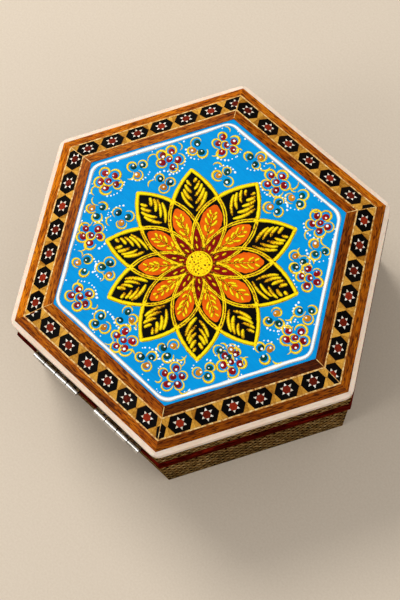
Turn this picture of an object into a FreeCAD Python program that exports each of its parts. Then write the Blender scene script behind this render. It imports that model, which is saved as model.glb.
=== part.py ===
"""Hexagonal inlaid wooden box with a hinged lid.

A six-sided base of veneered boards carries a hollow lid. The lid's border slopes up from
a bone edge, over two wooden strips with an inlaid band between them, to a flat painted panel.
Two small butt hinges join lid and base at the back.

Millimetres. +Z is up. The origin is the middle of the underside. The back is on the +Y
side, and the lid opens backwards about an axis along X.
"""
import FreeCAD
import Part
import math
import os

# Overall sizes
lid_apothem = 62.4          # middle of the box to the middle of the lid's bone edge
base_height = 46.0          # table to the top of the base's rim
seam_gap = 0.3              # between the closed lid and the base's rim

# Lid border, from the outside in, each width measured in plan
bone_width = 1.8
outer_strip_width = 3.15
stringing_width = 0.5
khatam_width = 5.8
inner_strip_width = 3.45
outer_slope = 30.5          # degrees, over the bone edge and the outer strip
khatam_slope = 25.5         # degrees, over the inlaid band
inner_slope = 16.5          # degrees, over the inner strip
inlay_thickness = 1.6       # vertical thickness of every layer glued on the lid

# Lid sides
bone_edge_height = 2.8      # outer face of the bone edge
bone_overhang = 0.3         # bone edge beyond the veneered side below it
bone_round = 0.5
lid_side_height = 11.8      # veneered side, from the lid's lower edge to the bone edge
veneer_thickness = 1.5
lid_board_thickness = 7.0

# Base
base_side_outset = 0.2      # base veneer beyond the lid's veneer
wall_thickness = 7.0        # core boards of the base and of the lid
bottom_thickness = 4.0
rim_height = 7.5            # wooden rim strip round the top of the base
rim_thickness = 2.2
rim_top_round = 1.5
rim_bottom_round = 0.4

# Cloth-covered cards that line the base's floor and the lid
card_thickness = 1.6
card_clearance = 0.3        # card edge to the boards round it

# Hinges
hinge_centres = (-16.6, 14.6)   # along the back side, from its middle
hinge_length = 22.5
hinge_outset = 1.35         # pin axis beyond the lid's veneered side
knuckle_count = 4
knuckle_gap = 0.4           # between neighbouring knuckles
barrel_radius = 1.4
barrel_clearance = 0.2      # barrel to the groove in the wood, and to the other leaf
pin_radius = 0.5
pin_running_clearance = 0.05    # in the lid leaf's knuckles, which turn on the pin
pin_fixed_clearance = 0.02      # in the base leaf's knuckles, which hold it
leaf_thickness = 0.6
leaf_depth = 5.0            # how far a leaf reaches in from the lid's veneered side
leaf_end_clearance = 0.1    # leaf end to the end of its recess
nail_spacing = 15.0         # between the two nails of a leaf
nail_radius = 0.45
nail_length = 5.0
nail_head_radius = 0.9
nail_head_height = 0.4
nail_clearance = 0.03

SAME_POINT = 1e-6           # points nearer than this are one point
HALF_CORNER = 30.0          # degrees, half the angle that one side of a hexagon spans
SIDES = {
    "back": 90,
    "back_left": 150,
    "front_left": 210,
    "front": 270,
    "front_right": 330,
    "back_right": 30,
}
HINGE_SIDES = ("back", "back_left", "back_right")
HINGES = ("left", "right")

ORIGIN = FreeCAD.Vector(0, 0, 0)
UP = FreeCAD.Vector(0, 0, 1)
ALONG_HINGE = FreeCAD.Vector(1, 0, 0)

# Plan distances from the middle of the box, worked out from the sizes above
bone_inner = lid_apothem - bone_width
outer_strip_inner = bone_inner - outer_strip_width
khatam_outer = outer_strip_inner - stringing_width
khatam_inner = khatam_outer - khatam_width
inner_strip_outer = khatam_inner - stringing_width
panel_apothem = inner_strip_outer - inner_strip_width
lid_side = lid_apothem - bone_overhang
lid_core = lid_side - veneer_thickness
base_side = lid_side + base_side_outset
base_core = base_side - veneer_thickness
cavity_apothem = base_core - wall_thickness
rim_outer = base_core + rim_thickness
outer_break = outer_strip_inner - stringing_width / 2
khatam_break = khatam_inner - stringing_width / 2

# Heights
lid_bottom = base_height + seam_gap
bone_bottom = lid_bottom + lid_side_height
bone_top = bone_bottom + bone_edge_height
outer_break_top = bone_top + (lid_apothem - outer_break) * math.tan(math.radians(outer_slope))
khatam_break_top = outer_break_top + (outer_break - khatam_break) * math.tan(math.radians(khatam_slope))
panel_top = khatam_break_top + (khatam_break - panel_apothem) * math.tan(math.radians(inner_slope))
board_top = panel_top - inlay_thickness
board_bottom = board_top - lid_board_thickness

# Hinge axis
hinge_y = lid_side + hinge_outset
hinge_z = base_height + seam_gap / 2
leaf_inner = lid_side - leaf_depth
leaf_outer = hinge_y - barrel_radius - barrel_clearance
nail_y = (leaf_inner + leaf_outer) / 2

# The lid's upper surface: its slope changes under the middle of each stringing line
LID_PROFILE = (
    (lid_apothem, bone_top),
    (outer_break, outer_break_top),
    (khatam_break, khatam_break_top),
    (panel_apothem, panel_top),
)


def lid_top(distance):
    """Height of the lid's upper surface at a plan distance from the middle."""
    for (far, far_z), (near, near_z) in zip(LID_PROFILE, LID_PROFILE[1:]):
        if distance >= near:
            return far_z + (near_z - far_z) * (far - distance) / (far - near)
    return panel_top


def breaks_between(outer, inner):
    """Plan distances where the lid's slope changes between two given ones, outside first."""
    return [distance for distance, _ in LID_PROFILE if inner < distance < outer]


def solid_between(loop_a, loop_b):
    """A solid with flat faces between two matching closed loops of points."""
    count = len(loop_a)
    faces = [
        Part.Face(Part.makePolygon(loop + loop[:1]))
        for loop in (loop_a, loop_b)
    ]
    for i in range(count):
        j = (i + 1) % count
        corners = [loop_a[i], loop_a[j], loop_b[j], loop_b[i], loop_a[i]]
        faces.append(Part.Face(Part.makePolygon(corners)))
    solid = Part.Solid(Part.Shell(faces))
    if solid.Volume < 0:
        solid.reverse()
    return solid


def mitred_bar(outline, side_angle, rounds=()):
    """One mitred side of a hexagonal ring.

    outline lists (plan distance, height) round the bar, where a point may repeat the one
    before it, and rounds lists (plan distance, height, radius) for rounded long edges.
    """
    slope = math.tan(math.radians(HALF_CORNER))
    before = outline[-1:] + outline[:-1]
    section = [point for point, last in zip(outline, before) if math.dist(point, last) > SAME_POINT]
    near_end = [FreeCAD.Vector(u, -u * slope, z) for u, z in section]
    far_end = [FreeCAD.Vector(u, u * slope, z) for u, z in section]
    bar = solid_between(near_end, far_end)
    for u, z, radius in rounds:
        middle = FreeCAD.Vector(u, 0, z)
        edges = [
            edge for edge in bar.Edges
            if edge.CenterOfMass.distanceToPoint(middle) < radius / 10
        ]
        bar = bar.makeFillet(radius, edges)
    bar.rotate(ORIGIN, UP, side_angle)
    return bar


def hex_loop(apothem, z):
    """The six corners of a hexagon with flat sides at the front and the back."""
    reach = apothem / math.cos(math.radians(HALF_CORNER))
    corners = [math.radians(2 * HALF_CORNER * i) for i in range(6)]
    return [FreeCAD.Vector(reach * math.cos(a), reach * math.sin(a), z) for a in corners]


def hex_plate(apothem, bottom, top):
    return solid_between(hex_loop(apothem, bottom), hex_loop(apothem, top))


def rectangle(inner, outer, bottom, top):
    return [(inner, bottom), (outer, bottom), (outer, top), (inner, top)]


def inlay_section(outer, inner):
    """A layer of even thickness that follows the lid's upper surface."""
    line = [outer] + breaks_between(outer, inner) + [inner]
    upper = [(u, lid_top(u)) for u in line]
    lower = [(u, lid_top(u) - inlay_thickness) for u in reversed(line)]
    return upper + lower


def hinge_cylinder(centre_x, radius, length):
    start = FreeCAD.Vector(centre_x - length / 2, hinge_y, hinge_z)
    return Part.makeCylinder(radius, length, start, ALONG_HINGE)


def hinge_recess(centre_x):
    """What is cut out of the wood for one hinge: both leaves and the barrel."""
    length = hinge_length + 2 * leaf_end_clearance
    height = seam_gap + 2 * leaf_thickness
    corner = FreeCAD.Vector(centre_x - length / 2, leaf_inner, hinge_z - height / 2)
    slot = Part.makeBox(length, hinge_y - leaf_inner, height, corner)
    return slot.fuse(hinge_cylinder(centre_x, barrel_radius + barrel_clearance, length))


def nail(x, on_base, clearance):
    """One countersunk nail, its head flush with the leaf's open face."""
    direction = -1 if on_base else 1
    face = base_height if on_base else lid_bottom
    top = FreeCAD.Vector(x, nail_y, face)
    down = FreeCAD.Vector(0, 0, direction)
    head = Part.makeCone(
        nail_head_radius + clearance,
        nail_radius + clearance,
        nail_head_height,
        top,
        down,
    )
    shank = Part.makeCylinder(nail_radius + clearance, nail_length + clearance, top, down)
    return head.fuse(shank).removeSplitter()


def nails(on_base, clearance=0.0):
    places = [c + side * nail_spacing / 2 for c in hinge_centres for side in (-1, 1)]
    return [nail(x, on_base, clearance) for x in places]


def hinge_leaf(centre_x, on_base):
    """A leaf with every second knuckle: the base leaf has the first one."""
    bottom = base_height - leaf_thickness if on_base else lid_bottom
    plate = Part.makeBox(
        hinge_length,
        leaf_outer - leaf_inner,
        leaf_thickness,
        FreeCAD.Vector(centre_x - hinge_length / 2, leaf_inner, bottom),
    )
    pitch = hinge_length / knuckle_count
    width = pitch - knuckle_gap
    bore_clearance = pin_fixed_clearance if on_base else pin_running_clearance
    leaf = plate
    for index in range(0 if on_base else 1, knuckle_count, 2):
        knuckle_x = centre_x - hinge_length / 2 + pitch * (index + 0.5)
        tab = Part.makeBox(
            width,
            hinge_y - leaf_outer,
            leaf_thickness,
            FreeCAD.Vector(knuckle_x - width / 2, leaf_outer, bottom),
        )
        barrel = hinge_cylinder(knuckle_x, barrel_radius, width)
        bore = hinge_cylinder(knuckle_x, pin_radius + bore_clearance, width)
        leaf = leaf.fuse(tab).fuse(barrel).cut(bore)
    for hole in nails(on_base, nail_clearance):
        leaf = leaf.cut(hole)
    return leaf.removeSplitter()


def hinge_cut(solid, side, on_base):
    """The wood of a back side, recessed for the hinges and drilled for their nails."""
    if side not in HINGE_SIDES:
        return solid
    for centre_x in hinge_centres:
        solid = solid.cut(hinge_recess(centre_x))
    for hole in nails(on_base, nail_clearance):
        solid = solid.cut(hole)
    return solid.removeSplitter()


def base_wall(side):
    section = rectangle(cavity_apothem, base_core, 0, base_height)
    return hinge_cut(mitred_bar(section, SIDES[side]), side, True)


def base_veneer(side):
    section = rectangle(base_core, base_side, 0, base_height - rim_height)
    return mitred_bar(section, SIDES[side])


def base_rim(side):
    bottom = base_height - rim_height
    section = rectangle(base_core, rim_outer, bottom, base_height)
    rounds = [
        (rim_outer, base_height, rim_top_round),
        (rim_outer, bottom, rim_bottom_round),
    ]
    return hinge_cut(mitred_bar(section, SIDES[side], rounds), side, True)


def lid_rail(side):
    """A core board of the lid's side, its top bevelled to carry the inlay."""
    line = [bone_inner] + breaks_between(bone_inner, cavity_apothem) + [cavity_apothem]
    bevel = [(u, lid_top(u) - inlay_thickness) for u in line]
    outside = [(lid_core, lid_bottom), (lid_core, bone_bottom), (bone_inner, bone_bottom)]
    outline = [(cavity_apothem, lid_bottom)] + outside + bevel
    return hinge_cut(mitred_bar(outline, SIDES[side]), side, False)


def lid_side_veneer(side):
    section = rectangle(lid_core, lid_side, lid_bottom, bone_bottom)
    return hinge_cut(mitred_bar(section, SIDES[side]), side, False)


def lid_bone_edge(side):
    section = [
        (bone_inner, lid_top(bone_inner)),
        (lid_apothem, bone_top),
        (lid_apothem, bone_bottom),
        (bone_inner, bone_bottom),
    ]
    rounds = [
        (lid_apothem, bone_top, bone_round),
        (lid_apothem, bone_bottom, bone_round),
    ]
    return mitred_bar(section, SIDES[side], rounds)


def lid_strip(side, outer, inner):
    return mitred_bar(inlay_section(outer, inner), SIDES[side])


def lid_board():
    """The flat core board of the lid, bevelled under the inlay round its edge."""
    edges = [cavity_apothem] + breaks_between(cavity_apothem, 0)
    heights = [lid_top(u) - inlay_thickness for u in edges]
    board = hex_plate(cavity_apothem, board_bottom, heights[0])
    for i in range(len(edges) - 1):
        lower = hex_loop(edges[i], heights[i])
        upper = hex_loop(edges[i + 1], heights[i + 1])
        board = board.fuse(solid_between(lower, upper))
    return board.removeSplitter()


def floor_card():
    apothem = cavity_apothem - card_clearance
    return hex_plate(apothem, bottom_thickness, bottom_thickness + card_thickness)


def lid_card():
    apothem = cavity_apothem - card_clearance
    return hex_plate(apothem, board_bottom - card_thickness, board_bottom)


def build():
    """Every piece of the box, by node name. A list is a group of separate solids."""
    pieces = {
        "base_bottom": hex_plate(cavity_apothem, 0, bottom_thickness),
        "base_floor_card": floor_card(),
        "lid_board": lid_board(),
        "lid_card": lid_card(),
        "lid_panel": hex_plate(panel_apothem, board_top, panel_top),
        "lid_side_veneers": [lid_side_veneer(side) for side in SIDES],
        "lid_inner_strips": [lid_strip(side, inner_strip_outer, panel_apothem) for side in SIDES],
        "lid_outer_stringing": [lid_strip(side, outer_strip_inner, khatam_outer) for side in SIDES],
        "lid_inner_stringing": [lid_strip(side, khatam_inner, inner_strip_outer) for side in SIDES],
        "hinge_nails_base": nails(True),
        "hinge_nails_lid": nails(False),
    }
    for side in SIDES:
        pieces["base_wall_" + side] = base_wall(side)
        pieces["base_veneer_" + side] = base_veneer(side)
        pieces["base_rim_" + side] = base_rim(side)
        pieces["lid_rail_" + side] = lid_rail(side)
        pieces["lid_bone_edge_" + side] = lid_bone_edge(side)
        pieces["lid_outer_strip_" + side] = lid_strip(side, bone_inner, outer_strip_inner)
        pieces["lid_khatam_" + side] = lid_strip(side, khatam_outer, khatam_inner)
    for name, centre_x in zip(HINGES, hinge_centres):
        pieces["hinge_base_leaf_" + name] = hinge_leaf(centre_x, True)
        pieces["hinge_lid_leaf_" + name] = hinge_leaf(centre_x, False)
        pieces["hinge_pin_" + name] = hinge_cylinder(centre_x, pin_radius, hinge_length)
    return pieces


def export(pieces):
    os.makedirs("parts", exist_ok=True)
    for node, shape in pieces.items():
        if isinstance(shape, list):
            shape = Part.makeCompound(shape)
        shape.exportStep("parts/" + node + ".step")


export(build())
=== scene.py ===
"""Looks of the hexagonal inlaid box: woods, micro inlay, painted flower panel, hinges.

Metres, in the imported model's own frame: +Z is up and the hinges are on the +Y side.
Plan positions on one side of the lid are (u, s): u is the distance from the box's middle
and s runs along the side. The script draws its random numbers in a fixed order.
"""
import random
from math import atan2, copysign, cos, degrees, hypot, pi, radians, sin, sqrt, tan, tau

import bmesh
import bpy
from mathutils import Matrix, Vector, noise


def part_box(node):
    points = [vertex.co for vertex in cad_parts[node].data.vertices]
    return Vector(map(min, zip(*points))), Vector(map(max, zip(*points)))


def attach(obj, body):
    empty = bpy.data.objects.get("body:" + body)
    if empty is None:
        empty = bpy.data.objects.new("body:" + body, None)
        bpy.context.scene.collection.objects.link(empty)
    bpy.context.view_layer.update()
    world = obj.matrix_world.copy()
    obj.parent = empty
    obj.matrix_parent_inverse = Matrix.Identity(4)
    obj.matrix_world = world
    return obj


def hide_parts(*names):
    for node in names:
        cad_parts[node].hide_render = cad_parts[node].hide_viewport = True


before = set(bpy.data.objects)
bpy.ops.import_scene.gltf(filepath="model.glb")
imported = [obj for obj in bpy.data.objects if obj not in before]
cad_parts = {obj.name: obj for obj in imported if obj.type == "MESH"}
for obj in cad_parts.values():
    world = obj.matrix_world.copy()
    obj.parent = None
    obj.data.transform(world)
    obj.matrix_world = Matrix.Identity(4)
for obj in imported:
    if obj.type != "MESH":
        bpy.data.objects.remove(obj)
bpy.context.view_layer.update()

MM = 0.001
chance = random.Random(17)

SIDES = {
    "back": 90,
    "back_left": 150,
    "front_left": 210,
    "front": 270,
    "front_right": 330,
    "back_right": 30,
}
MITRE = pi / 6             # half of the turn from one side to the next

# The painted panel
panel_low, panel_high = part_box("lid_panel")
PANEL_APOTHEM = panel_high.y
PANEL_TOP = panel_high.z
INLAY = panel_high.z - panel_low.z      # vertical thickness of every layer on the lid
PAINT_DEPTH = 0.25 * MM                 # room for the paint above the panel's ground
GROUND = PANEL_TOP - PAINT_DEPTH


def srgb(red, green, blue):
    """A colour given as 0 to 255 on screen, as the linear values that shaders take."""
    def linear(value):
        part = value / 255
        return part / 12.92 if part <= 0.04045 else ((part + 0.055) / 1.055) ** 2.4
    return (linear(red), linear(green), linear(blue), 1.0)


# ---------------- materials


class Recipe:
    """A material under construction, with short calls for the nodes it uses."""

    def __init__(self, name, roughness=0.5, coat=0.0, coat_roughness=0.1, metallic=0.0, gloss=0.5):
        self.material = bpy.data.materials.new(name)
        self.material.use_nodes = True
        self.tree = self.material.node_tree
        self.shader = self.tree.nodes["Principled BSDF"]
        self.set("Roughness", roughness)
        self.set("Coat Weight", coat)
        self.set("Coat Roughness", coat_roughness)
        self.set("Metallic", metallic)
        self.set("Specular IOR Level", gloss)

    def set(self, socket, value):
        self.shader.inputs[socket].default_value = value

    def feed(self, socket, source):
        self.tree.links.new(source, self.shader.inputs[socket])

    def node(self, kind, *sources, **settings):
        """A new node, its settings, and its inputs in order: a socket, a value or None."""
        made = self.tree.nodes.new("ShaderNode" + kind)
        for key, value in settings.items():
            setattr(made, key, value)
        for socket, source in zip(made.inputs, sources):
            if isinstance(source, bpy.types.NodeSocket):
                self.tree.links.new(source, socket)
            elif source is not None:
                socket.default_value = source
        return made

    def coordinates(self, scale, turn=0.0, shift=(0.0, 0.0, 0.0)):
        """Object coordinates, turned so that one side's outward way is X, then scaled and shifted."""
        place = self.node("TexCoord").outputs["Object"]
        turned = self.node("Mapping", place, None, (0.0, 0.0, -radians(turn)))
        return self.node("Mapping", turned.outputs[0], shift, None, scale).outputs[0]

    def noise(self, place, scale=1.0, **settings):
        """A noise texture. Its settings are detail, roughness and distortion."""
        made = self.node("TexNoise", place)
        made.inputs["Scale"].default_value = scale
        for name, value in settings.items():
            made.inputs[name.capitalize()].default_value = value
        return made.outputs[0]

    def grain(self, scale, turn=0.0, shift=(0.0, 0.0, 0.0), **settings):
        """Noise over the piece. The scale is one number, or one for each of the turned axes."""
        scales = scale if isinstance(scale, tuple) else (scale, scale, scale)
        return self.noise(self.coordinates(scales, turn, shift), **settings)

    def math(self, operation, first, second=None, third=None):
        return self.node("Math", first, second, third, operation=operation).outputs[0]

    def weigh(self, first, weight, second, other_weight):
        """The sum of two values, each times its weight."""
        return self.math("MULTIPLY_ADD", first, weight, self.math("MULTIPLY", second, other_weight))

    def ramp(self, factor, *stops):
        """A colour from a factor. stops are (position, colour) pairs, lowest first."""
        made = self.node("ValToRGB", factor)
        points = made.color_ramp.elements
        while len(points) < len(stops):
            points.new(1.0)
        for point, (position, colour) in zip(points, stops):
            point.position = position
            point.color = colour
        return made.outputs[0]

    def multiply(self, strength, first, second):
        """One colour times another. strength, 0 to 1, is how much the second one counts."""
        made = self.node("Mix", strength, data_type="RGBA", blend_type="MULTIPLY")
        colours = [socket for socket in made.inputs if socket.type == "RGBA"]
        self.tree.links.new(first, colours[0])
        self.tree.links.new(second, colours[1])
        return next(socket for socket in made.outputs if socket.type == "RGBA")

    def tone(self):
        """The tone that the mesh code gave each point."""
        return self.node("Attribute", attribute_name="tone").outputs["Fac"]

    def bump(self, height, distance, strength):
        made = self.node("Bump")
        made.inputs["Strength"].default_value = strength
        made.inputs["Distance"].default_value = distance
        self.tree.links.new(height, made.inputs["Height"])
        self.feed("Normal", made.outputs[0])


def wood(name, dark, middle, light, turn, seed, coat=0.02, gloss=0.05, stain=0.25):
    """Lacquered wood: grain along one side of the box, short dark dashes and dark stains."""
    recipe = Recipe(name, roughness=0.42, coat=coat, coat_roughness=0.25, gloss=gloss)
    shift = (seed * 3.1, seed * 7.7, seed * 1.3)
    uneven = {"detail": 3.0, "roughness": 0.6}
    figure = recipe.grain((300, 45, 300), turn, shift, distortion=0.8, **uneven)
    fibre = recipe.grain((1500, 150, 1500), turn, shift, distortion=0.3, **uneven)
    dashes = recipe.grain((2700, 380, 2700), turn, shift, distortion=0.2)
    both = recipe.weigh(figure, 0.5, fibre, 0.5)
    colour = recipe.ramp(both, (0.38, dark), (0.5, middle), (0.62, light))
    pits = recipe.ramp(dashes, (0.4, (0.16, 0.09, 0.04, 1)), (0.51, (1, 1, 1, 1)))
    pitted = recipe.multiply(0.85, colour, pits)
    cloud = recipe.grain((170, 34, 170), turn, shift, distortion=0.6, **uneven)
    stains = recipe.ramp(cloud, (0.36, (0.22, 0.15, 0.1, 1)), (0.5, (1, 1, 1, 1)))
    recipe.feed("Base Color", recipe.multiply(stain, pitted, stains))
    recipe.feed("Roughness", recipe.math("MULTIPLY_ADD", fibre, 0.3, 0.32))
    recipe.bump(dashes, 0.06 * MM, 0.35)
    return recipe.material


def bone(turn):
    """Polished bone: pale, with fine streaks along its side and faint warm stains."""
    recipe = Recipe("bone_%d" % turn, roughness=0.36, gloss=0.12)
    streaks = recipe.grain((2600, 420, 2600), turn)
    stains = recipe.grain((110, 60, 110), turn, detail=3.0)
    colour = recipe.ramp(streaks, (0.3, srgb(228, 206, 186)), (0.55, srgb(240, 222, 206)))
    warm = recipe.ramp(stains, (0.35, srgb(246, 232, 216)), (0.6, srgb(255, 254, 252)))
    recipe.feed("Base Color", recipe.multiply(0.6, colour, warm))
    recipe.set("Subsurface Weight", 0.1)
    recipe.set("Subsurface Scale", 1.0 * MM)
    recipe.bump(streaks, 0.03 * MM, 0.25)
    return recipe.material


def fine_inlay(turn):
    """Micro inlay on a side: a lattice of small triangles in a pattern of stars."""
    rod = 1.25 * MM
    row = rod * sqrt(3) / 2
    recipe = Recipe("fine_inlay_%d" % turn, roughness=0.55, gloss=0.0)
    place = recipe.coordinates((1.0, 1.0, 1.0), turn)
    wobble = recipe.noise(place, 420.0)
    parts = recipe.node("SeparateXYZ", place).outputs
    drift = recipe.math("MULTIPLY_ADD", wobble, 0.35 * rod, -0.17 * rod)
    along = recipe.math("ADD", parts[1], drift)
    up = recipe.math("ADD", parts[2], drift)
    half_up = recipe.math("MULTIPLY", up, -0.5)
    side = recipe.math("MULTIPLY", along, sqrt(3) / 2)
    lines = (up, recipe.math("ADD", half_up, side), recipe.math("SUBTRACT", half_up, side))
    cells = [recipe.math("DIVIDE", line, row) for line in lines]
    whole = [recipe.math("FLOOR", cell) for cell in cells]
    thirds = [recipe.math("FLOORED_MODULO", w, 3.0) for w in whole]
    ones = [recipe.math("COMPARE", third, 1.0, 0.1) for third in thirds]
    count = recipe.math("ADD", recipe.math("ADD", ones[0], ones[1]), ones[2])
    key = recipe.node("CombineXYZ", whole[0], whole[1], whole[2]).outputs[0]
    speck = recipe.node("TexWhiteNoise", key).outputs["Value"]
    level = recipe.weigh(count, 0.32, speck, 0.3)
    colour = recipe.ramp(
        level,
        (0.0, srgb(22, 14, 8)),
        (0.17, srgb(98, 62, 28)),
        (0.34, srgb(30, 22, 13)),
        (0.5, srgb(146, 114, 64)),
        (0.72, srgb(176, 144, 90)),
        (0.9, srgb(212, 184, 130)),
    )
    colour.node.color_ramp.interpolation = "CONSTANT"
    near = [recipe.math("PINGPONG", cell, 0.5) for cell in cells]
    seam = recipe.math("MINIMUM", recipe.math("MINIMUM", near[0], near[1]), near[2])
    glue = recipe.ramp(seam, (0.02, (0.5, 0.42, 0.34, 1)), (0.08, (1, 1, 1, 1)))
    patches = recipe.noise(place, 120.0, detail=4.0, roughness=0.65)
    shade = recipe.ramp(patches, (0.4, (0.42, 0.38, 0.3, 1)), (0.6, (1, 0.98, 0.94, 1)))
    toned = recipe.multiply(0.9, colour, glue)
    recipe.feed("Base Color", recipe.multiply(0.85, toned, shade))
    recipe.bump(seam, 0.05 * MM, 0.4)
    return recipe.material


def inlay_piece(name, dark, light):
    """One kind of small inlaid piece. Its tone differs from piece to piece."""
    recipe = Recipe(name, roughness=0.45, gloss=0.03)
    grain = recipe.grain(1300, detail=3.0, roughness=0.6)
    blend = recipe.weigh(grain, 0.7, recipe.tone(), 0.4)
    recipe.feed("Base Color", recipe.ramp(blend, (0.3, dark), (0.8, light)))
    recipe.bump(grain, 0.03 * MM, 0.3)
    return recipe.material


def pale_line(name, grain_scale=700.0):
    """A thin inlaid line of pale wood, stained brown in places."""
    recipe = Recipe(name, roughness=0.4, gloss=0.35)
    grain = recipe.grain(grain_scale, detail=4.0, roughness=0.65)
    stained, middle, clean = srgb(150, 88, 30), srgb(214, 160, 78), srgb(246, 216, 150)
    recipe.feed("Base Color", recipe.ramp(grain, (0.36, stained), (0.48, middle), (0.62, clean)))
    recipe.bump(grain, 0.05 * MM, 0.4)
    return recipe.material


def paint(name, dark, light, roughness=0.5, gloss=0.04):
    """Brushed paint: slightly uneven in colour and in thickness."""
    recipe = Recipe(name, roughness=roughness, gloss=gloss)
    brush = recipe.grain((300, 1400, 300), detail=3.0, roughness=0.6)
    cloud = recipe.grain(90, detail=3.0)
    blend = recipe.weigh(brush, 0.5, cloud, 0.5)
    recipe.feed("Base Color", recipe.ramp(blend, (0.36, dark), (0.62, light)))
    recipe.bump(brush, 0.03 * MM, 0.35)
    return recipe.material


def gold_paint(name, dark, middle, bright):
    """Yellow paint with brown specks, which grow where its tone is low and the brush ran dry."""
    recipe = Recipe(name, roughness=0.45, gloss=0.06)
    specks = recipe.grain(1500, detail=3.0, roughness=0.7)
    strength = recipe.math("MULTIPLY_ADD", recipe.tone(), 0.8, -0.83)
    level = recipe.math("MULTIPLY_ADD", specks, 1.85, strength)
    recipe.feed("Base Color", recipe.ramp(level, (0.3, dark), (0.52, middle), (0.78, bright)))
    recipe.bump(specks, 0.05 * MM, 0.5)
    return recipe.material


def metal(name, dull, bright):
    """Plain metal, duller in patches, with scratches along the hinges."""
    recipe = Recipe(name, metallic=1.0)
    scratches = recipe.grain((300, 1200, 1200))
    tarnish = recipe.grain(220, detail=3.0)
    recipe.feed("Base Color", recipe.ramp(tarnish, (0.32, dull), (0.6, bright)))
    recipe.feed("Roughness", recipe.math("MULTIPLY_ADD", scratches, 0.12, 0.2))
    return recipe.material


def velvet():
    """Dark red velvet: a fine pile that lies this way and that in large patches."""
    recipe = Recipe("velvet", roughness=0.9)
    pile = recipe.grain(5200)
    lay = recipe.grain(75, detail=3.0, distortion=1.2)
    blend = recipe.weigh(pile, 0.4, lay, 0.6)
    colour = recipe.ramp(blend, (0.36, srgb(74, 6, 16)), (0.62, srgb(134, 18, 34)))
    recipe.feed("Base Color", colour)
    recipe.set("Sheen Weight", 0.7)
    recipe.set("Sheen Roughness", 0.4)
    recipe.set("Sheen Tint", srgb(235, 120, 130))
    recipe.bump(pile, 0.15 * MM, 0.6)
    return recipe.material


# Three colours of each wood, from dark to light
BROWN = (srgb(146, 64, 2), srgb(200, 104, 4), srgb(232, 138, 12))
RIM_RED = (srgb(30, 4, 2), srgb(80, 12, 6), srgb(122, 28, 12))
CORE = (srgb(138, 88, 44), srgb(186, 132, 78), srgb(214, 166, 110))
# Brightness of each side's brown wood, the outer strip and the inner strip: partly the wood's own tone,
# partly painted shade, darkest on the sides that face away from the key light
STRIP_TONES_AND_SHADE = {
    "back": (0.72, 0.6),
    "back_left": (0.45, 0.18),
    "front_left": (0.62, 0.4),
    "front": (0.8, 0.58),
    "front_right": (0.92, 0.66),
    "back_right": (0.96, 0.66),
}

BLACK_PIECE = inlay_piece("inlay_black", srgb(2, 1, 1), srgb(14, 10, 7))
RED_PIECE = inlay_piece("inlay_red", srgb(62, 12, 4), srgb(150, 42, 18))
WHITE_PIECE = inlay_piece("inlay_white", srgb(214, 202, 178), srgb(252, 248, 238))
OCHRE_PIECE = inlay_piece("inlay_ochre", srgb(150, 94, 22), srgb(226, 168, 66))
GLUE = inlay_piece("inlay_glue", srgb(62, 34, 10), srgb(120, 74, 24))

SKY = paint("paint_sky_blue", srgb(0, 136, 208), srgb(0, 150, 222))
WHITE = paint("paint_white", srgb(234, 242, 246), srgb(254, 255, 255))
BLACK = paint("paint_black", srgb(1, 1, 1), srgb(9, 7, 5))
ORANGE = paint("paint_orange", srgb(206, 74, 2), srgb(234, 104, 8))
DARK_RED = paint("paint_dark_red", srgb(92, 2, 4), srgb(146, 16, 10))
RUST = paint("paint_rust", srgb(120, 40, 4), srgb(188, 92, 10))
BERRY = paint("paint_berry", srgb(96, 0, 6), srgb(158, 6, 16), 0.35, 0.1)
GREEN = paint("paint_green", srgb(0, 30, 28), srgb(2, 80, 66), 0.35, 0.1)
AMBER = paint("paint_amber", srgb(160, 92, 6), srgb(210, 138, 22), 0.35, 0.1)
GOLD = gold_paint("paint_gold", srgb(78, 40, 4), srgb(218, 152, 8), srgb(255, 226, 14))
CREAM = gold_paint("paint_cream", srgb(168, 100, 4), srgb(244, 190, 18), srgb(255, 228, 58))

VELVET = velvet()
NICKEL = metal("nickel", srgb(158, 154, 147), srgb(224, 222, 218))
# Near-black steel for the hinge pins: painted shade in the gaps between the knuckles, where the pins
# show
PIN_STEEL_AS_SHADE = metal("pin_steel_as_shade", srgb(34, 32, 30), srgb(58, 54, 50))


# ---------------- mesh code


def add_object(name, data):
    """A new object in the scene, for a mesh, a light or a camera."""
    made = bpy.data.objects.new(name, data)
    bpy.context.scene.collection.objects.link(made)
    return made


def around(centre, radius, angle):
    """The plan point at a distance and an angle in radians from a centre."""
    return (centre[0] + radius * cos(angle), centre[1] + radius * sin(angle))


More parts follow.
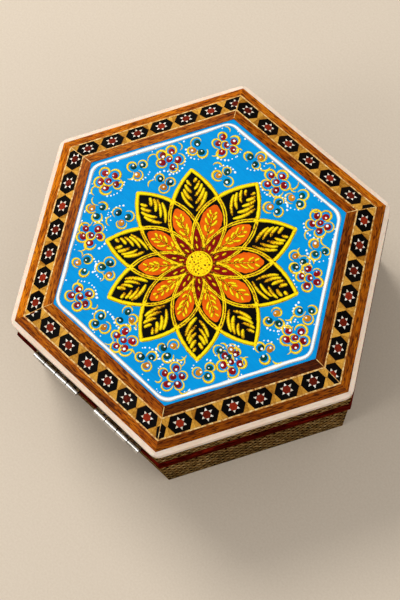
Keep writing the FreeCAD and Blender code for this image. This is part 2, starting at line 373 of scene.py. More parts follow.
class Shape:
    """Closed solids gathered in one mesh. Each face has a material, each point a tone."""

    def __init__(self):
        self.points = []
        self.tones = []
        self.faces = []
        self.slots = []
        self.smooth = []

    def add_points(self, points, tones=0.5):
        """Takes one tone for all the points or one for each, and gives the points' numbers."""
        first = len(self.points)
        self.points += [tuple(point) for point in points]
        self.tones += [tones] * len(points) if isinstance(tones, float) else tones
        return list(range(first, len(self.points)))

    def add_face(self, corners, slot=0, smooth=False):
        self.faces.append(corners)
        self.slots.append(slot)
        self.smooth.append(smooth)

    def prism(self, top, bottom, slot=0, tone=0.5):
        """A solid between two matching loops."""
        count = len(top)
        upper = self.add_points(top, tone)
        lower = self.add_points(bottom, tone)
        self.add_face(upper, slot)
        self.add_face(lower[::-1], slot)
        for i in range(count):
            j = (i + 1) % count
            self.add_face([upper[j], upper[i], lower[i], lower[j]], slot)

    def make(self, name, body, slot, materials, replaces=()):
        mesh = bpy.data.meshes.new(name)
        mesh.from_pydata(self.points, [], self.faces)
        for material in materials:
            mesh.materials.append(material)
        mesh.polygons.foreach_set("material_index", self.slots)
        mesh.polygons.foreach_set("use_smooth", self.smooth)
        tone = mesh.attributes.new("tone", "FLOAT", "POINT")
        tone.data.foreach_set("value", self.tones)
        work = bmesh.new()
        work.from_mesh(mesh)
        bmesh.ops.recalc_face_normals(work, faces=work.faces)
        work.to_mesh(mesh)
        work.free()
        piece = add_object(name, mesh)
        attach(piece, body)
        if replaces:
            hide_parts(*replaces)


EDGE_FADE = 0.28        # how much weaker a brush line's paint is at its edges


class Paint(Shape):
    """Thin layers of paint on the panel. Heights are above the panel's ground."""

    def patch(self, outline, low, high, slot=0):
        top = [(x, y, GROUND + high) for x, y in outline]
        bottom = [(x, y, GROUND + low) for x, y in outline]
        self.prism(top, bottom, slot)

    def dab(self, centre, radius, low, rise, slot=0, tone=0.5, count=12):
        """A round dot of paint with a domed top and a slightly oval outline."""
        lean = chance.uniform(0, tau)
        oval = 0.07
        rings = []
        for share, height in ((1.0, 0.0), (0.93, 0.5), (0.62, 0.88)):
            ring = []
            for i in range(count):
                turn = tau * i / count
                reach = radius * share * (1 + oval * sin(2 * turn + lean))
                ring.append((*around(centre, reach, turn), GROUND + low + rise * height))
            rings.append(self.add_points(ring, tone))
        crown = self.add_points([(*centre, GROUND + low + rise)], tone)[0]
        self.add_face(rings[0][::-1], slot)
        for outer, inner in zip(rings, rings[1:]):
            for i in range(count):
                j = (i + 1) % count
                self.add_face([outer[i], outer[j], inner[j], inner[i]], slot, True)
        for i in range(count):
            self.add_face([rings[-1][i], rings[-1][(i + 1) % count], crown], slot, True)

    def stroke(self, line, widths, low, rise, tones, closed=False):
        """A brush line: a low ridge along points, with its own full width at each point."""
        count = len(line)
        rows = []
        for i, point in enumerate(line):
            before = line[i - 1] if closed or i else line[0]
            after = line[(i + 1) % count] if closed or i < count - 1 else line[-1]
            way = (Vector(after) - Vector(before)).normalized()
            out = Vector((-way.y, way.x)) * widths[i] / 2
            left = (point[0] + out.x, point[1] + out.y, GROUND + low)
            right = (point[0] - out.x, point[1] - out.y, GROUND + low)
            ridge = (point[0], point[1], GROUND + low + rise)
            edge_tone = tones[i] - EDGE_FADE
            rows.append(self.add_points((left, ridge, right), [edge_tone, tones[i], edge_tone]))
        pairs = list(zip(rows, rows[1:])) + ([(rows[-1], rows[0])] if closed else [])
        for a, b in pairs:
            self.add_face([a[0], b[0], b[1], a[1]], smooth=True)
            self.add_face([a[1], b[1], b[2], a[2]], smooth=True)
            self.add_face([a[2], b[2], b[0], a[0]])
        if not closed:
            self.add_face(rows[0])
            self.add_face(rows[-1][::-1])


def at_side(turn, u, s, z):
    """The point at (u, s) on the side that faces a direction in degrees, at a height."""
    angle = radians(turn)
    x = u * cos(angle) - s * sin(angle)
    y = u * sin(angle) + s * cos(angle)
    return (x, y, z)


def hexagon(apothem):
    """Six corners in plan, with flat sides at the front and back."""
    return [around((0, 0), apothem / cos(MITRE), i * pi / 3) for i in range(6)]


def cut_at_mitre(outline, end):
    """What is left of a (u, s) outline when a side's mitre cuts it, at the side's end 1 or -1."""
    slope = tan(MITRE)
    kept = []
    for i, point in enumerate(outline):
        last = outline[i - 1]
        gap, last_gap = (slope * p[0] - end * p[1] for p in (point, last))
        if (gap > 0) != (last_gap > 0):
            share = last_gap / (last_gap - gap)
            kept.append(tuple(a + (b - a) * share for a, b in zip(last, point)))
        if gap > 0:
            kept.append(point)
    return kept


# ---------------- inlaid bands

HEXAGON_LENGTH = 8.9 * MM       # point to point, along the band
HEXAGON_FLAT = 5.4 * MM         # its two sides at the band's edges
RED_APOTHEM = 1.36 * MM
STAR_REACH = 2.42 * MM
PIECE_GAP = 0.05 * MM           # glue between neighbouring pieces
GLUE_SINK = 0.06 * MM           # glue bed, below the star's face
PIECE_SINK = 0.03 * MM          # black and ochre pieces, below the star's face
ROWS = {                        # each side's row of hexagons: its shift and its spacing
    "back": (-3.6 * MM, 9.5 * MM),
    "back_left": (-4.7 * MM, 9.6 * MM),
    "front_left": (-2.2 * MM, 9.6 * MM),
    "front": (-3.6 * MM, 10.0 * MM),
    "front_right": (-1.5 * MM, 9.5 * MM),
    "back_right": (-0.3 * MM, 9.3 * MM),
}


def khatam_hexagon(centre, middle, half):
    """A slightly uneven hexagon's (u, s) outline, with its points along the band."""
    point = HEXAGON_LENGTH / 2
    flat = HEXAGON_FLAT / 2
    outline = []
    for u, s in ((0, -point), (half, -flat), (half, flat), (0, point), (-half, flat), (-half, -flat)):
        outline.append((middle + u, centre + s + chance.uniform(-0.08, 0.08) * MM))
    return outline


def khatam_band(side):
    """One inlaid band: black hexagons with a red and white star, ochre between them."""
    ochre, black, red, white, glue = range(5)
    low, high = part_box("lid_khatam_front")
    outer, inner = -low.y, -high.y
    outer_z, inner_z = low.z + INLAY, high.z
    slope = (inner_z - outer_z) / (outer - inner)
    squeeze = 1 / hypot(1, slope)           # plan width of a true width on the slope
    middle = (outer + inner) / 2
    turn = SIDES[side]
    phase, pitch = ROWS[side]
    shape = Shape()

    def piece(outline, sink, slot, tone):
        for end in (1, -1):
            outline = cut_at_mitre(outline, end)
        if len(outline) < 3:
            return
        top = [at_side(turn, u, s, outer_z + (outer - u) * slope - sink) for u, s in outline]
        bottom = [(x, y, z - INLAY / 2) for x, y, z in top]
        shape.prism(top, bottom, slot, tone)

    def star(star_middle, centre, tilt):
        def on_star(radius, angle):
            way = angle + tilt
            return (star_middle + radius * cos(way) * squeeze, centre + radius * sin(way))

        corner = RED_APOTHEM / cos(MITRE)
        corners = [on_star(corner, radians(30 + 60 * i)) for i in range(6)]
        piece(corners, 0.0, red, chance.random())
        for i in range(6):
            way = radians(60 * i)
            foot = radians(chance.uniform(17, 21))
            base = (RED_APOTHEM + PIECE_GAP) / cos(foot)
            reach = STAR_REACH * chance.uniform(0.94, 1.05)
            ray = [on_star(base, way - foot), on_star(base, way + foot), on_star(reach, way)]
            piece(ray, 0.0, white, chance.random())

    long_end = 2 * outer
    strip = [(inner, -long_end), (outer, -long_end), (outer, long_end), (inner, long_end)]
    piece(strip, GLUE_SINK, glue, 0.5)
    half = (outer - inner) / 2 - PIECE_GAP
    # How far an ochre piece reaches from the seam midway between two hexagons,
    # at the band's edge and at the band's middle
    long_side = (pitch - HEXAGON_FLAT) / 2 - PIECE_GAP
    short_side = (pitch - HEXAGON_LENGTH) / 2 - PIECE_GAP
    count = int(outer / pitch) + 1
    for index in range(-count, count + 1):
        centre = phase + index * pitch + chance.uniform(-0.15, 0.15) * MM
        piece(khatam_hexagon(centre, middle, half), PIECE_SINK, black, chance.random())
        tilt = radians(chance.uniform(-6, 6))
        star(middle + chance.uniform(-0.1, 0.1) * MM, centre, tilt)
        edge = centre + pitch / 2
        for far in (1, -1):
            for near in (1, -1):
                outline = [
                    (middle + far * half, edge - near * PIECE_GAP / 2),
                    (middle + far * half, edge - near * long_side),
                    (middle + far * PIECE_GAP, edge - near * short_side),
                    (middle + far * PIECE_GAP, edge - near * PIECE_GAP / 2),
                ]
                piece(outline, PIECE_SINK, ochre, chance.random())
    materials = [OCHRE_PIECE, BLACK_PIECE, RED_PIECE, WHITE_PIECE, GLUE]
    shape.make("khatam_band_" + side, "lid", "khatam", materials, ["lid_khatam_" + side])


def bone_edge(side):
    """One side's bone bar: a sloping top, a rounded outer edge, and round at the lid's corners."""
    low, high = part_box("lid_bone_edge_front")
    outer, inner = -low.y, -high.y
    drop = 1.06 * MM                # the bar's top falls this much towards the outside
    edge_round = 0.55 * MM
    corner = 4.5 * MM
    turn = SIDES[side]
    run = (outer - corner) * tan(MITRE)
    inner_run = run * inner / outer
    inner_rest = inner * tan(MITRE) - inner_run
    # Places along the bar: the outer edge's u and s there, and the inner edge's s
    stations = []
    for k in range(13):
        s = run * (k / 6 - 1)
        stations.append((outer, s, s * inner / outer))
    for end in (1, -1):
        bend = []
        for k in range(1, 6):
            u, s = around((outer - corner, run), corner, radians(6 * k))
            bend.append((u, end * s, end * (inner_run + inner_rest * k / 5)))
        stations = stations + bend if end == 1 else bend[::-1] + stations
    # The bar's section: shares of the way from its inner to its outer edge, with heights
    shoulder = high.z - 0.7 * drop
    round_share = edge_round / (outer - inner)
    section = [(0, low.z), (0, high.z)]
    for k in range(4):
        way = radians(30 * k)
        share = 1 - round_share * (1 - sin(way))
        section.append((share, shoulder - edge_round * (1 - cos(way))))
    section.append((1, low.z))
    shape = Shape()
    rows = []
    for outer_u, outer_s, inner_s in stations:
        row = []
        for share, z in section:
            u = inner + (outer_u - inner) * share
            row.append(at_side(turn, u, inner_s + (outer_s - inner_s) * share, z))
        rows.append(shape.add_points(row))
    for a, b in zip(rows, rows[1:]):
        for i in range(len(a)):
            j = (i + 1) % len(a)
            shape.add_face([a[i], a[j], b[j], b[i]], 0, 1 < i < len(a) - 2)
    shape.add_face(rows[0][::-1])
    shape.add_face(rows[-1])
    shape.make("bone_edge_" + side, "lid", "bone", [bone(turn)], ["lid_bone_edge_" + side])


def mitre_lines():
    """Thin pale lines at the six corners, across the inlaid bands and the inner strips."""
    band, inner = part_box("lid_khatam_front"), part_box("lid_inner_strips")
    inner_end = PANEL_APOTHEM + 0.3 * MM
    inner_slope = (PANEL_TOP - inner[0].z - INLAY) / (inner[1].y - PANEL_APOTHEM)
    profile = (
        (-band[0].y, band[0].z + INLAY),
        (-band[1].y, band[1].z),
        (inner[1].y, inner[0].z + INLAY),
        (inner_end, PANEL_TOP - (inner_end - PANEL_APOTHEM) * inner_slope),
    )
    half, proud, depth = 0.11 * MM, 0.02 * MM, 0.3 * MM
    shape = Shape()
    for corner in range(6):
        way = radians(60 * corner)
        out = Vector((cos(way), sin(way), 0)) / cos(MITRE)
        across = Vector((-sin(way), cos(way), 0)) * half
        for (far, far_z), (near, near_z) in zip(profile, profile[1:]):
            outer_end = out * far + Vector((0, 0, far_z + proud))
            near_end = out * near + Vector((0, 0, near_z + proud))
            top = [outer_end - across, outer_end + across, near_end + across, near_end - across]
            shape.prism(top, [point - Vector((0, 0, depth)) for point in top], 0, chance.random())
    shape.make("mitre_lines", "lid", "stringing", [pale_line("mitre_glue", 500.0)])


# ---------------- painted panel

FLOWER_CENTRE = (-1.2 * MM, 1.9 * MM)
PETALS = 10
STEP = 360 / PETALS
FIRST_TIP = 97.5                # degrees, direction of one petal's tip
PETAL_AXES = [FIRST_TIP + STEP * index for index in range(PETALS)]
# How far each petal leans from its even place, in degrees: the flower was drawn by eye
LEANS = (-0.7, -1.6, -3.0, -1.0, 1.3, 0.6, 3.8, 2.6, 1.8, 1.6)
# A petal's edge, at every 9 degrees off the petal's own axis: mm from the flower's middle
EDGE_STEP = 9
PETAL_EDGE = (35.2, 30.2, 25.3, 20.9, 15.8, 10.4, 6.6, 4.6, 3.6)
# Leaves inside the flower, in mm: places along the leaf's axis, and half its width there
BASE_LEAF = ((4.2, 7.0, 10.0, 13.0, 15.4), (1.6, 2.2, 3.0, 2.0, 0.2))
ORANGE_LEAF = ((5.4, 8.0, 10.5, 13.0, 15.5, 18.0, 20.2, 22.3), (0.3, 0.9, 1.5, 2.6, 3.4, 3.2, 2.3, 0.5))
RED_LEAF = ((4.4, 7.0, 9.5, 11.5, 12.9), (0.7, 1.1, 1.35, 1.0, 0.2))
# Tops of the flower's layers of paint, above the panel's ground
PLATE_TOP = 0.03 * MM
CELL_TOP = 0.05 * MM
LEAF_TOP = 0.065 * MM
LINE_TOP = CELL_TOP + 0.1 * MM
STROKE_RISE = 0.09 * MM         # gold and cream strokes, above what they are painted on
DOT_RISE = 0.07 * MM            # white dots and the white border line
MARK_ASIDE = 0.42 * MM          # from a petal's axis to where its brush marks start


def smooth_between(values, place):
    """A value on the smooth curve through evenly spaced values. Place 0 is the first value."""
    index = max(0, min(int(place), len(values) - 2))
    t = place - index
    b, c = values[index], values[index + 1]
    a = values[index - 1] if index else 2 * b - c
    d = values[index + 2] if index + 2 < len(values) else 2 * c - b
    return b + t * (c - a + t * (2 * a - 5 * b + 4 * c - d + t * (3 * b - a - 3 * c + d))) / 2


def edge_radius(off):
    """Distance from the flower's middle to a petal's edge, at an angle off the petal's axis."""
    return smooth_between(PETAL_EDGE, off / EDGE_STEP) * MM


def on_flower(radius, direction):
    """A point of the flower at a distance and a direction, with the painter's unevenness."""
    shortest, shortening = 70, 0.036        # the flower reaches least far towards 70 degrees
    reach = radius * (1 - shortening * cos(radians(direction - shortest)))
    place = ((direction - FIRST_TIP) / STEP) % PETALS
    index = int(place)
    ease = place - index
    ease = ease * ease * (3 - 2 * ease)
    lean = LEANS[index % PETALS] * (1 - ease) + LEANS[(index + 1) % PETALS] * ease
    return around(FLOWER_CENTRE, reach, radians(direction + lean))


def beside_axis(axis, forward, aside):
    """A point of the flower: so far along an axis, and so far to its left."""
    return on_flower(hypot(forward, aside), axis + degrees(atan2(aside, forward)))


def petal_edge(axis, hand, start, end, count):
    """Points along one edge of a petal, hand 1 or -1, between two angles off its axis."""
    line = []
    for i in range(count):
        off = start + (end - start) * i / (count - 1)
        line.append(on_flower(edge_radius(off), axis + hand * off))
    return line


def leaf(axis, profile):
    """The outline of a leaf along an axis, from its profile's places and half widths."""
    places, half_widths = profile
    finer = 3
    left, right = [], []
    for i in range(finer * (len(places) - 1) + 1):
        forward = smooth_between(places, i / finer) * MM
        aside = max(0.15, smooth_between(half_widths, i / finer)) * MM
        left.append(beside_axis(axis, forward, aside * chance.uniform(0.95, 1.05)))
        right.append(beside_axis(axis, forward, -aside * chance.uniform(0.95, 1.05)))
    return right + left[::-1]


def brush_mark(layer, axis, start, angle, reach, width, dry, low=CELL_TOP):
    """One gold stroke beside an axis: it leaves at an angle and bends towards the tip.

    The brush runs dry towards the stroke's start, or towards its end when dry is negative.
    """
    line, widths, tones = [], [], []
    steps = 7
    side = copysign(1, angle)
    for i in range(steps):
        t = i / (steps - 1)
        bend = radians(abs(angle) * (1.3 - 0.5 * t))
        aside = MARK_ASIDE + reach * t * sin(bend)
        forward = start + reach * t * cos(bend)
        line.append(beside_axis(axis, forward, side * aside))
        widths.append(width * (0.62 + 0.5 * sin(pi * (0.12 + 0.76 * t))))
        fade = t if dry > 0 else 1 - t
        tones.append(1.15 - abs(dry) * (1 - fade) + chance.uniform(-0.08, 0.08))
    widths[0] *= 0.6
    widths[-1] *= 0.7
    layer.stroke(line, widths, low, STROKE_RISE, tones)


def room_beside(start, angle, margin):
    """How long a stroke can be before it comes within a margin of a black cell's edge."""
    reach, longest, step = 0.0, 9.0 * MM, 0.2 * MM
    bend = radians(angle)
    while reach < longest:
        reach += step
        aside = MARK_ASIDE + reach * sin(bend)
        forward = start + reach * cos(bend)
        off = degrees(atan2(aside, forward))
        distance = hypot(aside, forward)
        spread = degrees(margin / distance)
        beyond = edge_radius(off + spread) < distance + margin * 0.5
        neighbour = STEP - off
        if beyond or edge_radius(neighbour - spread) > distance - margin * 0.5:
            break
    return reach


def flower_fills():
    """The black plate of the ten petals, and the coloured leaves painted on it."""
    black, orange, dark_red, rust = range(4)
    fills = Paint()
    outline = []
    for axis in PETAL_AXES:
        outline += petal_edge(axis, -1, STEP / 2, 0, 7)[:-1]
        outline += petal_edge(axis, 1, 0, STEP / 2, 7)[:-1]
    fills.patch(outline, 0.0, PLATE_TOP, black)
    for axis in PETAL_AXES:
        fills.patch(leaf(axis, BASE_LEAF), PLATE_TOP / 2, CELL_TOP, rust)
        fills.patch(leaf(axis + STEP / 2, ORANGE_LEAF), PLATE_TOP / 2, LEAF_TOP - 0.005 * MM, orange)
        fills.patch(leaf(axis, RED_LEAF), PLATE_TOP, LEAF_TOP, dark_red)
    fills.make("flower_petals", "lid", "painted_wood", [BLACK, ORANGE, DARK_RED, RUST])


def fishbone(layer, axis, hand):
    """The brush strokes on one side of a black petal's axis, hand 1 or -1."""
    stagger = 1.1 if hand > 0 else 0.0
    start = (16.9 + stagger + chance.uniform(-0.3, 0.3)) * MM
    while start < 32 * MM:
        opening = 8 * (start / MM - 17) / 15        # the strokes open out towards the tip
        angle = chance.uniform(33, 38) + opening
        room = room_beside(start, angle, 0.9 * MM)
        if room > 1.8 * MM:
            width = chance.uniform(1.05, 1.35) * MM
            dry = chance.choice((0.35, 0.6, 0.75, -0.5))
            reach = room * chance.uniform(0.85, 1.0)
            brush_mark(layer, axis, start, hand * angle, reach, width, dry)
        start += chance.uniform(2.6, 3.0) * MM


def small_branch(layer, axis):
    """Short strokes to both sides of a thin stem, on an orange leaf."""
    for start, length in ((9.5, 2.0), (11.8, 2.9), (14.2, 3.2), (16.6, 2.9), (18.9, 2.0)):
        for hand in (1, -1):
            along = (start + chance.uniform(-0.5, 0.5)) * MM
            reach = length * chance.uniform(0.65, 1.05) * MM
            angle = hand * chance.uniform(28, 46)
            width = chance.uniform(0.75, 1.05) * MM
            brush_mark(layer, axis, along, angle, reach, width, 0.3, LEAF_TOP)
    stem = []
    for k in range(8):
        stem.append(beside_axis(axis, (8.5 + 1.5 * k) * MM, chance.uniform(-0.12, 0.12) * MM))
    layer.stroke(stem, [0.6 * MM] * 8, LEAF_TOP, 0.06 * MM, [0.6] * 8)


def flower_veins():
    """Gold brush strokes on the black petals and the orange leaves, gold drops on the red ones."""
    veins = Paint()
    drop_widths = [width * MM for width in (0.35, 0.75, 0.95, 0.8, 0.4)]
    for axis in PETAL_AXES:
        fishbone(veins, axis, 1)
        fishbone(veins, axis, -1)
        small_branch(veins, axis + STEP / 2)
        for start in (5.6, 8.4):
            drop = [beside_axis(axis, (start + 0.45 * k) * MM, 0.1 * k * MM) for k in range(5)]
            veins.stroke(drop, drop_widths, LEAF_TOP, STROKE_RISE, [0.8] * 5)
    veins.make("flower_veins", "lid", "painted_wood", [GOLD])


def flower_outlines():
    """Yellow outlines: one broad line round the petals' tips, and inside the flower
    a dull line with two thin bright ones on it."""
    lines = Paint()
    inner_rise = 0.075 * MM
    for axis in PETAL_AXES:
        for hand in (1, -1):
            strength = chance.uniform(0.2, 0.5)
            inside = petal_edge(axis, hand, STEP / 2 - 1, 1.62 * STEP, 22)
            widths = [(1.65 - 0.45 * k / 21) * chance.uniform(0.85, 1.15) * MM for k in range(22)]
            tones = [strength + chance.uniform(-0.12, 0.12) for _ in inside]
            lines.stroke(inside, widths, CELL_TOP, inner_rise, tones)
            for shift in (-1.3, 1.3):
                thin = petal_edge(axis + shift, hand, STEP / 2 - 1, 1.55 * STEP, 22)
                widths = [0.55 * chance.uniform(0.6, 1.4) * MM for _ in thin]
                tones = [chance.uniform(0.7, 1.25) for _ in thin]
                lines.stroke(thin, widths, CELL_TOP + 0.03 * MM, inner_rise, tones)
            rim = petal_edge(axis, hand, 0, STEP / 2 + 2, 15)
            widths = [chance.uniform(1.4, 1.8) * MM for _ in rim]
            tones = [chance.uniform(0.95, 1.25) for _ in rim]
            lines.stroke(rim, widths, 0.0, LINE_TOP, tones)
        lines.dab(on_flower(edge_radius(0), axis), 0.72 * MM, 0.0, LINE_TOP, 0, 0.95)
    lines.make("flower_outlines", "lid", "painted_wood", [GOLD])


def flower_heart():
    """The flower's round middle: a ring and scattered dots of thick gold paint."""
    points, golden_angle = 40, 137.5
    heart = Paint()
    heart.dab(FLOWER_CENTRE, 4.5 * MM, 0.0, 0.16 * MM, 0, 0.85, points)
    ring = [on_flower(4.45 * MM, 360 / points * k) for k in range(points)]
    heart.stroke(ring, [0.75 * MM] * points, CELL_TOP, 0.15 * MM, [0.95] * points, True)
    for k in range(points):
        radius = 3.9 * MM * sqrt((k + 0.5) / points)
        size = chance.uniform(0.2, 0.42) * MM
        place = on_flower(radius, golden_angle * k)
        heart.dab(place, size, 0.13 * MM, 0.06 * MM, 0, chance.uniform(0.2, 0.9), 8)
    heart.make("flower_heart", "lid", "painted_wood", [GOLD])


def has_room(point, from_flower, from_edge):
    """Whether a point is outside the flower and inside the panel's edge by these distances."""
    x, y = point[0] - FLOWER_CENTRE[0], point[1] - FLOWER_CENTRE[1]
    off = (degrees(atan2(y, x)) - FIRST_TIP) % STEP
    if hypot(x, y) < edge_radius(min(off, STEP - off)) + from_flower:
        return False
    ways = [radians(turn) for turn in SIDES.values()]
    reach = max(point[0] * cos(way) + point[1] * sin(way) for way in ways)
    return reach < PANEL_APOTHEM - from_edge


def curl(layer, centre, radius, start, sweep, width):
    """An open loop of cream paint, thick in the middle and thin at its ends."""
    count = max(9, int(sweep / 16))
    squash = chance.uniform(0.85, 1.1)
    line, widths, tones = [], [], []
    for i in range(count):
        t = i / (count - 1)
        way = radians(start + sweep * t)
        reach = radius * (1 + 0.45 * (t - 0.4))
        line.append((centre[0] + reach * cos(way), centre[1] + reach * squash * sin(way)))
        widths.append(width * (0.35 + 0.85 * sin(pi * t) ** 0.8))
        tones.append(chance.uniform(0.7, 1.1))
    layer.stroke(line, widths, 0.0, STROKE_RISE, tones)


RED_BERRY, GREEN_BERRY, AMBER_BERRY, SHINE = range(4)      # material slots of the berries' mesh


def berry(dots, curls, centre, radius, slot, way):
    """A dot with a white highlight, and a loop round its side that faces a direction."""
    dots.dab(centre, radius, 0.0, 0.12 * MM, slot, chance.random())
    shine_x = centre[0] + chance.uniform(-0.35, 0.45) * radius
    shine_y = centre[1] + chance.uniform(-0.45, 0.35) * radius
    shine_radius = radius * chance.uniform(0.22, 0.42)
    dots.dab((shine_x, shine_y), shine_radius, 0.1 * MM, 0.06 * MM, SHINE, 0.5, 8)
    middle = around(centre, 0.35 * MM, radians(way))
    sweep = chance.uniform(210, 330)
    start = way - sweep / 2 + chance.uniform(-35, 35)
    loop_radius = radius * chance.uniform(1.25, 1.55)
    curl(curls, middle, loop_radius, start, sweep, chance.uniform(0.5, 0.9) * MM)


def hook(curls, centre, way, distance):
    """A loose hook of cream paint at a distance from a motif's middle, where there is room."""
    place = around(centre, distance, radians(way))
    if not has_room(place, 2.2 * MM, 3.4 * MM):
        return
    start = way + chance.choice((-120, 60)) + chance.uniform(-25, 25)
    radius = chance.uniform(1.2, 1.9) * MM
    sweep = chance.uniform(120, 190)
    curl(curls, place, radius, start, sweep, chance.uniform(0.4, 0.7) * MM)


def rosette(dots, curls, centre, turn):
    """A red berry with five round it, and up to three hooks."""
    berry(dots, curls, centre, 1.15 * MM, RED_BERRY, turn)
    for k in range(5):
        way = turn + 72 * k + chance.uniform(-11, 11)
        place = around(centre, chance.uniform(2.8, 3.3) * MM, radians(way))
        berry(dots, curls, place, chance.uniform(1.2, 1.4) * MM, RED_BERRY, way)
    for k in range(3):
        hook(curls, centre, turn + 36 + 120 * k, 5.6 * MM)


def sprig(dots, curls, centre, turn):
    """Two green berries and an amber one, and at most one hook."""
    for k, slot in enumerate((GREEN_BERRY, GREEN_BERRY, AMBER_BERRY)):
        way = turn + 120 * k + chance.uniform(-18, 18)
        place = around(centre, chance.uniform(1.8, 2.3) * MM, radians(way))
        radius = chance.uniform(1.1, 1.35) * MM
        berry(dots, curls, place, radius, slot, way + chance.uniform(-30, 30))
    hook(curls, centre, turn + 180, 4.2 * MM)


def dotted_arc(layer, centre, radius, start, count):
    """A row of white dots along an arc, shrinking towards its end, where there is room."""
    for k in range(count):
        way = radians(start) + k * chance.uniform(1.25, 1.4) * MM / radius
        place = around(centre, radius * chance.uniform(0.98, 1.02), way)
        if not has_room(place, 1.1 * MM, 2.2 * MM):
            continue
        size = (0.4 - 0.16 * k / count) * chance.uniform(0.8, 1.25) * MM
        layer.dab(place, size, 0.0, DOT_RISE, count=8)


def motifs():
    """Red rosettes and green sprigs round the flower, with cream loops and white dots."""
    dots, curls, specks = Paint(), Paint(), Paint()

    def place_at(direction, distance):
        way = radians(direction + chance.uniform(-1.5, 1.5))
        return around((0, 0), (distance + chance.uniform(-0.7, 0.7)) * MM, way)

    for k in range(12):
        centre = place_at(30 * k, 40.0 if k % 2 else 44.4)
        rosette(dots, curls, centre, chance.uniform(0, 72))
        dotted_arc(specks, centre, 5.9 * MM, 30 * k + chance.uniform(120, 170), 8)
        centre = place_at(30 * k + 15, 41.7)
        sprig(dots, curls, centre, chance.uniform(0, 360))
        dotted_arc(specks, centre, 4.4 * MM, 30 * k + chance.uniform(100, 200), 7)
    for axis in PETAL_AXES:
        way = axis + STEP / 2
        centre = on_flower((33.4 + chance.uniform(-0.6, 0.6)) * MM, way)
        sprig(dots, curls, centre, way + 180 + chance.uniform(40, 80))
        dotted_arc(specks, centre, 4.4 * MM, way + chance.uniform(-100, -20), 7)
    dots.make("berries", "lid", "painted_wood", [BERRY, GREEN, AMBER, WHITE])
    curls.make("curls", "lid", "painted_wood", [CREAM])
    for turn in SIDES.values():
        for _ in range(9):
            u = PANEL_APOTHEM - chance.uniform(2.0, 3.0) * MM
            place = at_side(turn, u, chance.uniform(-0.52, 0.52) * u, 0)[:2]
            specks.dab(place, chance.uniform(0.18, 0.36) * MM, 0.0, DOT_RISE, count=8)
    specks.make("white_dots", "lid", "painted_wood", [WHITE])


def border_line():
    """The white line round the panel, drawn freehand: a little off centre, with rounded corners."""
    apothem = PANEL_APOTHEM - 1.45 * MM
    off_centre = Vector((0.26, 0.34)) * MM
    corner = 5.0 * MM
    half = (apothem - corner) * tan(MITRE)
    line = []
    for turn in sorted(SIDES.values()):
        for k in range(15):
            line.append(at_side(turn, apothem, half * (k / 7 - 1), 0)[:2])
        bend = at_side(turn, apothem - corner, half, 0)
        for k in range(1, 6):
            line.append(around(bend, corner, radians(turn + 10 * k)))
    swayed, widths = [], []
    for x, y in line:
        sway = noise.noise(Vector((x, y, 0)) * 90)
        scale = 1 + sway * 0.35 * MM / apothem
        swayed.append((x * scale + off_centre.x, y * scale + off_centre.y))
        widths.append((1.4 + 0.6 * noise.noise(Vector((x, y, 1)) * 130)) * MM)
    layer = Paint()
    layer.stroke(swayed, widths, 0.0, DOT_RISE, [0.5] * len(line), True)
    layer.make("border_line", "lid", "painted_wood", [WHITE])


def painted_panel():
    """The blue panel and all the paint on it."""
    ground = Paint()
    ground.patch(hexagon(PANEL_APOTHEM), panel_low.z - GROUND, 0.0)
    ground.make("panel_ground", "lid", "painted_wood", [SKY], ["lid_panel"])
    border_line()
    flower_fills()
    flower_veins()
    flower_outlines()
    flower_heart()
    motifs()


# ---------------- linings and CAD pieces


def velvet_card(name, node, body, faces_up):
    """A velvet-covered card: turned-over edges and a slightly uneven pile."""
    low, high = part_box(node)
    rings, points_a_side = 16, 6
    face_z, back_z = (high.z, low.z) if faces_up else (low.z, high.z)
    inwards = -1 if faces_up else 1
    hollow = 0.25 * MM * inwards
    round_edge = 0.5 * MM * inwards
    shape = Shape()
    rows = []
    for ring in range(rings):
        corners = hexagon(high.y * (ring + 1) / rings)
        edge = round_edge if ring == rings - 1 else 0.0
        row = []
        for k in range(6 * points_a_side):
            side, place = divmod(k, points_a_side)
            a, b = corners[side], corners[(side + 1) % 6]
            x, y = (a[i] + (b[i] - a[i]) * place / points_a_side for i in (0, 1))
            sunk = hollow * (0.5 + noise.noise(Vector((x, y, 0)) * 60))
            row.append((x, y, face_z + sunk * 0.5 + edge))
        rows.append(shape.add_points(row))
    rows.append(shape.add_points([(x, y, back_z) for x, y, _z in row]))
    middle = shape.add_points([(0, 0, face_z + hollow / 2)])[0]
    for k in range(len(row)):
        j = (k + 1) % len(row)
        shape.add_face([middle, rows[0][k], rows[0][j]], smooth=True)
        for a, b in zip(rows, rows[1:]):
            shape.add_face([a[k], b[k], b[j], a[j]], smooth=True)
    shape.add_face(rows[-1], smooth=True)
    shape.make(name, body, "velvet", [VELVET], [node])


def dress(node, material):
    """A CAD node gets one material."""
    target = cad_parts[node]
    target.data.materials.clear()
    target.data.materials.append(material)


def dress_group(node, materials):
    """A CAD node that holds one solid on each side: each gets its own side's material."""
    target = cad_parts[node]
    target.data.materials.clear()
    turns = list(SIDES.values())
    for turn in turns:
        target.data.materials.append(materials[turn])
    for face in target.data.polygons:
        angle = degrees(atan2(face.center.y, face.center.x)) % 360
        gaps = [abs((angle - turn + 180) % 360 - 180) for turn in turns]
        face.material_index = gaps.index(min(gaps))


def shaded(colours, tone):
    """Wood colours made darker by a tone of 0 to 1, which carries painted shade as well as the wood's
    own tone. Darker wood is also a little redder.
    """
    other = tone ** 1.15
    return [(red * tone, green * other, blue * other, 1) for red, green, blue, _alpha in colours]


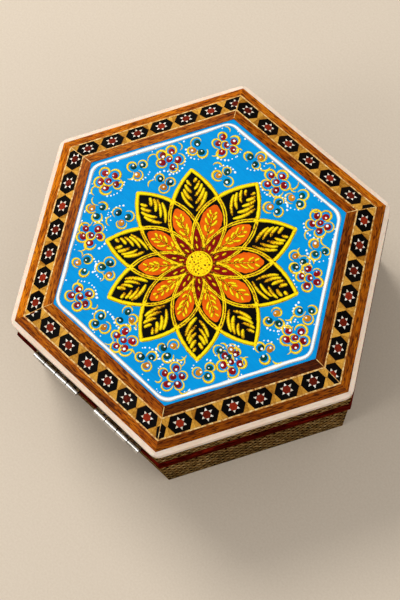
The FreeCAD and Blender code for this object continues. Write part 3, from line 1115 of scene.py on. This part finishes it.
def dress_frame():
    """The materials of all wooden CAD nodes and of the hinges, and the bone edge."""
    inner_strip, veneer = {}, {}
    for seed, (side, turn) in enumerate(SIDES.items()):
        # Each side's two tones hold painted shade as well as the wood's own tone
        outer, inner = (shaded(BROWN, tone) for tone in STRIP_TONES_AND_SHADE[side])
        inner_strip[turn] = wood("inner_strip_" + side, *inner, turn, seed + 21.0)
        veneer[turn] = fine_inlay(turn)
        core = wood("core_" + side, *CORE, turn, seed + 41.0, coat=0.2)
        stain = 0.9 if side == "back" else 0.3
        rim = wood("rim_" + side, *RIM_RED, turn, seed + 61.0, coat=0.0, gloss=0.0)
        dress("lid_outer_strip_" + side, wood("strip_" + side, *outer, turn, seed + 1.0, stain=stain))
        dress("lid_rail_" + side, core)
        dress("base_wall_" + side, core)
        dress("base_rim_" + side, rim)
        dress("base_veneer_" + side, veneer[turn])
        bone_edge(side)
    dress_group("lid_inner_strips", inner_strip)
    dress_group("lid_side_veneers", veneer)
    line = pale_line("stringing")
    dress("lid_outer_stringing", line)
    dress("lid_inner_stringing", line)
    board = wood("core_board", *CORE, SIDES["back"], 81.0, coat=0.2)
    dress("base_bottom", board)
    dress("lid_board", board)
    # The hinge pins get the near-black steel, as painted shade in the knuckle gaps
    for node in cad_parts:
        if node.startswith("hinge_"):
            dress(node, PIN_STEEL_AS_SHADE if "pin" in node else NICKEL)


# ---------------- stage, light, camera


def floor():
    """A plain pale floor, wide enough to fill each view."""
    recipe = Recipe("floor_paper", roughness=0.85)
    colour = recipe.ramp(recipe.grain(1200), (0.3, srgb(208, 194, 176)), (0.7, srgb(214, 201, 184)))
    recipe.feed("Base Color", colour)
    mesh = bpy.data.meshes.new("floor")
    half = 12.0
    corners = [(-half, -half, 0), (half, -half, 0), (half, half, 0), (-half, half, 0)]
    mesh.from_pydata(corners, [], [(0, 1, 2, 3)])
    mesh.materials.append(recipe.material)
    ground = add_object("floor", mesh)


def area_light(name, place, size, power, colour):
    """A round soft light that points at the middle of the box."""
    data = bpy.data.lights.new(name, "AREA")
    data.shape = "DISK"
    data.size = size
    data.energy = power
    data.color = colour
    way = (Vector((0, 0, 40 * MM)) - Vector(place)).normalized()
    turned = way.to_track_quat("-Z", "Y").to_matrix().to_4x4()
    add_object(name, data).matrix_world = Matrix.Translation(place) @ turned


def lights():
    """The key light from the picture's top, two weaker ones from its left and its lower right."""
    area_light("key", (0.70, -0.15, 0.82), 0.5, 7.7, (1.0, 0.98, 0.94))
    area_light("back", (0.25, 0.75, 0.75), 0.4, 2.2, (1.0, 0.99, 0.97))
    area_light("fill", (-0.7, -0.1, 0.8), 0.9, 2.2, (1.0, 0.98, 0.95))
    world = bpy.data.worlds.new("studio")
    world.use_nodes = True
    background = world.node_tree.nodes["Background"]
    background.inputs["Color"].default_value = (1.0, 0.98, 0.95, 1)
    background.inputs["Strength"].default_value = 0.4
    bpy.context.scene.world = world


def camera():
    """Looks steeply down from the hinges' side, held at a slant."""
    data = bpy.data.cameras.new("camera")
    data.lens = 71.72
    view = add_object("camera", data)
    place = Vector((-0.1044, 0.0781, 0.4720))
    forward = Vector((0.2234, -0.1588, -0.9617)).normalized()
    right = Vector((-0.7300, -0.6810, -0.0571))
    right = (right - right.project(forward)).normalized()
    turned = Matrix((right, right.cross(forward), -forward)).transposed()
    view.matrix_world = Matrix.Translation(place) @ turned.to_4x4()
    bpy.context.scene.camera = view


bpy.context.scene.view_settings.view_transform = "Standard"
dress_frame()
for side_name in SIDES:
    khatam_band(side_name)
mitre_lines()
painted_panel()
velvet_card("floor_card", "base_floor_card", "base", True)
velvet_card("lid_lining_card", "lid_card", "lid", False)
floor()
lights()
camera()
